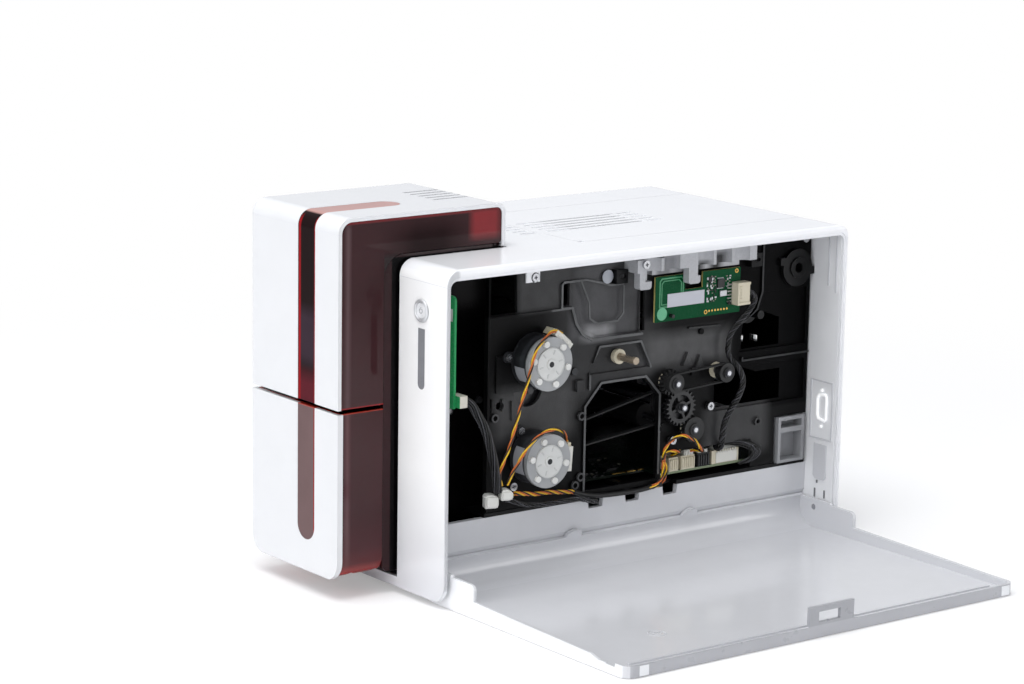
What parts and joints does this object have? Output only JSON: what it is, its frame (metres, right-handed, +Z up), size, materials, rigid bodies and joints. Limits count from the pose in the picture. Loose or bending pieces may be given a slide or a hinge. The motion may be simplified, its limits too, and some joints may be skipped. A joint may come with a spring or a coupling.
{
  "type": "id card printer",
  "caption": "Desktop plastic-card printer with a tinted card feeder and hopper at the front, a lid on top and a fold-down side door that shows the card and ribbon drive",
  "frame": {"origin": "middle of the machine's footprint, door left out, on the surface it stands on", "axes": "+X towards the side with the fold-down door, +Y towards the back with the sockets, +Z up; the card feeder faces -Y"},
  "size_m": [0.379, 0.381, 0.247],
  "materials": {
    "case_white": "semi-gloss",
    "light_grey_plastic": "satin",
    "black_plastic": "matt",
    "dark_red_tint": "gloss",
    "grey_plastic": "satin",
    "motor_black": "satin",
    "polished_steel": "polished",
    "brass": "machined",
    "rubber_black": "matt",
    "cleaning_blue": "tacky",
    "cream_nylon": "satin",
    "white_nylon": "satin",
    "green_board": "solder mask",
    "head_ceramic": "satin",
    "orange_wire": "PVC insulation",
    "black_wire": "braided sleeve"
  },
  "bodies": {
    "case": {"body_shell": "case_white", "base_tray": "light_grey_plastic", "rear_panel": "light_grey_plastic", "left_cover": "case_white", "rubber_feet": "rubber_black", "lid_hinge_discs": "black_plastic", "feeder_hinge_pins": "polished_steel", "front_housing": "black_plastic", "card_magazine": "black_plastic", "button_ring": "polished_steel", "status_window": "grey_plastic", "light_board": "green_board", "chassis_right": "black_plastic", "chassis_left": "black_plastic", "chassis_crossbars": "black_plastic", "lower_deck": "black_plastic", "upper_motor": "motor_black", "lower_motor": "motor_black", "ribbon_motor": "motor_black", "motor_caps": "light_grey_plastic", "drive_belt": "rubber_black", "roller_belt": "rubber_black", "shaft_bushes": "cream_nylon", "antenna_board": "green_board", "top_bracket": "light_grey_plastic", "slot_brackets": "black_plastic", "rear_bracket": "grey_plastic", "main_board": "green_board", "board_connectors": "cream_nylon", "rear_sockets": "polished_steel", "motor_leads": "orange_wire", "wire_harness": "black_wire", "cable_clips": "white_nylon", "case_screws": "polished_steel"},
    "side_door": {"side_door": "light_grey_plastic", "door_hinge_pins": "polished_steel"},
    "top_lid": {"top_lid": "case_white"},
    "feeder_cover": {"feeder_shell": "case_white", "feeder_tint": "dark_red_tint"},
    "hopper": {"hopper_shell": "case_white", "hopper_tint": "dark_red_tint", "hopper_tray": "black_plastic"},
    "power_button": {"power_button": "grey_plastic"},
    "card_pusher": {"card_pusher": "grey_plastic"},
    "head": {"head_arm": "black_plastic", "print_head": "head_ceramic"},
    "feed_roller": {"feed_roller": "rubber_black"},
    "feed_idler": {"feed_idler_gear": "grey_plastic"},
    "feed_drive": {"feed_drive_gear": "grey_plastic"},
    "upper_pinion": {"upper_pinion": "brass"},
    "drive_pulley": {"drive_pulley": "brass"},
    "ribbon_pinion": {"ribbon_pinion": "brass"},
    "main_gear": {"main_gear": "polished_steel"},
    "platen": {"platen_roller": "rubber_black"},
    "rear_roller": {"rear_roller": "rubber_black"},
    "output_roller": {"output_roller": "rubber_black"},
    "takeup": {"takeup_spindle": "polished_steel", "takeup_spool": "black_plastic"},
    "supply": {"supply_spool": "black_plastic"},
    "cleaning_roller": {"cleaning_roller": "cleaning_blue"}
  },
  "joints": [
    {"name": "side_door_hinge", "type": "hinge", "parent": "case", "child": "side_door", "pos_m": [0.0851, 0, 0.0175], "axis": [0, -1, 0], "range_deg": [0, 90]},
    {"name": "top_lid_hinge", "type": "hinge", "parent": "case", "child": "top_lid", "pos_m": [0, 0.1715, 0.1858], "axis": [-1, 0, 0], "range_deg": [0, 72]},
    {"name": "feeder_cover_hinge", "type": "hinge", "parent": "case", "child": "feeder_cover", "pos_m": [0, -0.0635, 0.221], "axis": [-1, 0, 0], "range_deg": [0, 75]},
    {"name": "hopper_slide", "type": "slide", "parent": "case", "child": "hopper", "axis": [0, -1, 0], "range_m": [0, 0.07]},
    {"name": "power_button_press", "type": "slide", "parent": "case", "child": "power_button", "axis": [0, 1, 0], "range_m": [0, 0.0015], "stiffness_N_per_m": 400, "springref_m": -0.0008},
    {"name": "card_pusher_slide", "type": "slide", "parent": "case", "child": "card_pusher", "axis": [0, 0, 1], "range_m": [0, 0.07]},
    {"name": "head_arm_hinge", "type": "hinge", "parent": "case", "child": "head", "pos_m": [0, 0.088, 0.15], "axis": [-1, 0, 0], "range_deg": [0, 12]},
    {"name": "feed_roller_spin", "type": "hinge", "parent": "case", "child": "feed_roller", "pos_m": [0, -0.104, 0.1148], "axis": [1, 0, 0], "continuous": true},
    {"name": "feed_idler_spin", "type": "hinge", "parent": "case", "child": "feed_idler", "pos_m": [0, -0.0804, 0.1192], "axis": [1, 0, 0], "continuous": true},
    {"name": "feed_drive_spin", "type": "hinge", "parent": "case", "child": "feed_drive", "pos_m": [0, -0.0543, 0.1261], "axis": [1, 0, 0], "continuous": true},
    {"name": "upper_pinion_spin", "type": "hinge", "parent": "case", "child": "upper_pinion", "pos_m": [0, -0.0543, 0.1471], "axis": [1, 0, 0], "continuous": true},
    {"name": "main_gear_spin", "type": "hinge", "parent": "case", "child": "main_gear", "pos_m": [0, 0.0666, 0.1017], "axis": [1, 0, 0], "continuous": true},
    {"name": "drive_pulley_spin", "type": "hinge", "parent": "case", "child": "drive_pulley", "pos_m": [0, -0.0543, 0.0832], "axis": [1, 0, 0], "continuous": true},
    {"name": "platen_spin", "type": "hinge", "parent": "case", "child": "platen", "pos_m": [0, 0.0576, 0.1196], "axis": [1, 0, 0], "continuous": true},
    {"name": "rear_roller_spin", "type": "hinge", "parent": "case", "child": "rear_roller", "pos_m": [0, 0.102, 0.122], "axis": [1, 0, 0], "continuous": true},
    {"name": "output_roller_spin", "type": "hinge", "parent": "case", "child": "output_roller", "pos_m": [0, 0.0778, 0.0851], "axis": [1, 0, 0], "continuous": true},
    {"name": "takeup_spin", "type": "hinge", "parent": "case", "child": "takeup", "pos_m": [0, 0.0167, 0.141], "axis": [1, 0, 0], "continuous": true},
    {"name": "ribbon_pinion_spin", "type": "hinge", "parent": "case", "child": "ribbon_pinion", "pos_m": [0, 0.0167, 0.117], "axis": [1, 0, 0], "continuous": true},
    {"name": "supply_spin", "type": "hinge", "parent": "case", "child": "supply", "pos_m": [0, 0.14, 0.156], "axis": [1, 0, 0], "continuous": true},
    {"name": "cleaning_roller_spin", "type": "hinge", "parent": "case", "child": "cleaning_roller", "pos_m": [0, -0.02, 0.1349], "axis": [1, 0, 0], "continuous": true}
  ],
  "couplings": [
    {"joint": "feed_idler_spin", "follows": "feed_roller_spin", "ratio": -1},
    {"joint": "feed_drive_spin", "follows": "feed_roller_spin", "ratio": 0.8},
    {"joint": "upper_pinion_spin", "follows": "feed_roller_spin", "ratio": -2},
    {"joint": "drive_pulley_spin", "follows": "main_gear_spin", "ratio": 2},
    {"joint": "platen_spin", "follows": "main_gear_spin", "ratio": -1.5},
    {"joint": "rear_roller_spin", "follows": "main_gear_spin", "ratio": -1.5},
    {"joint": "output_roller_spin", "follows": "main_gear_spin", "ratio": -1.5},
    {"joint": "ribbon_pinion_spin", "follows": "takeup_spin", "ratio": -3}
  ]
}
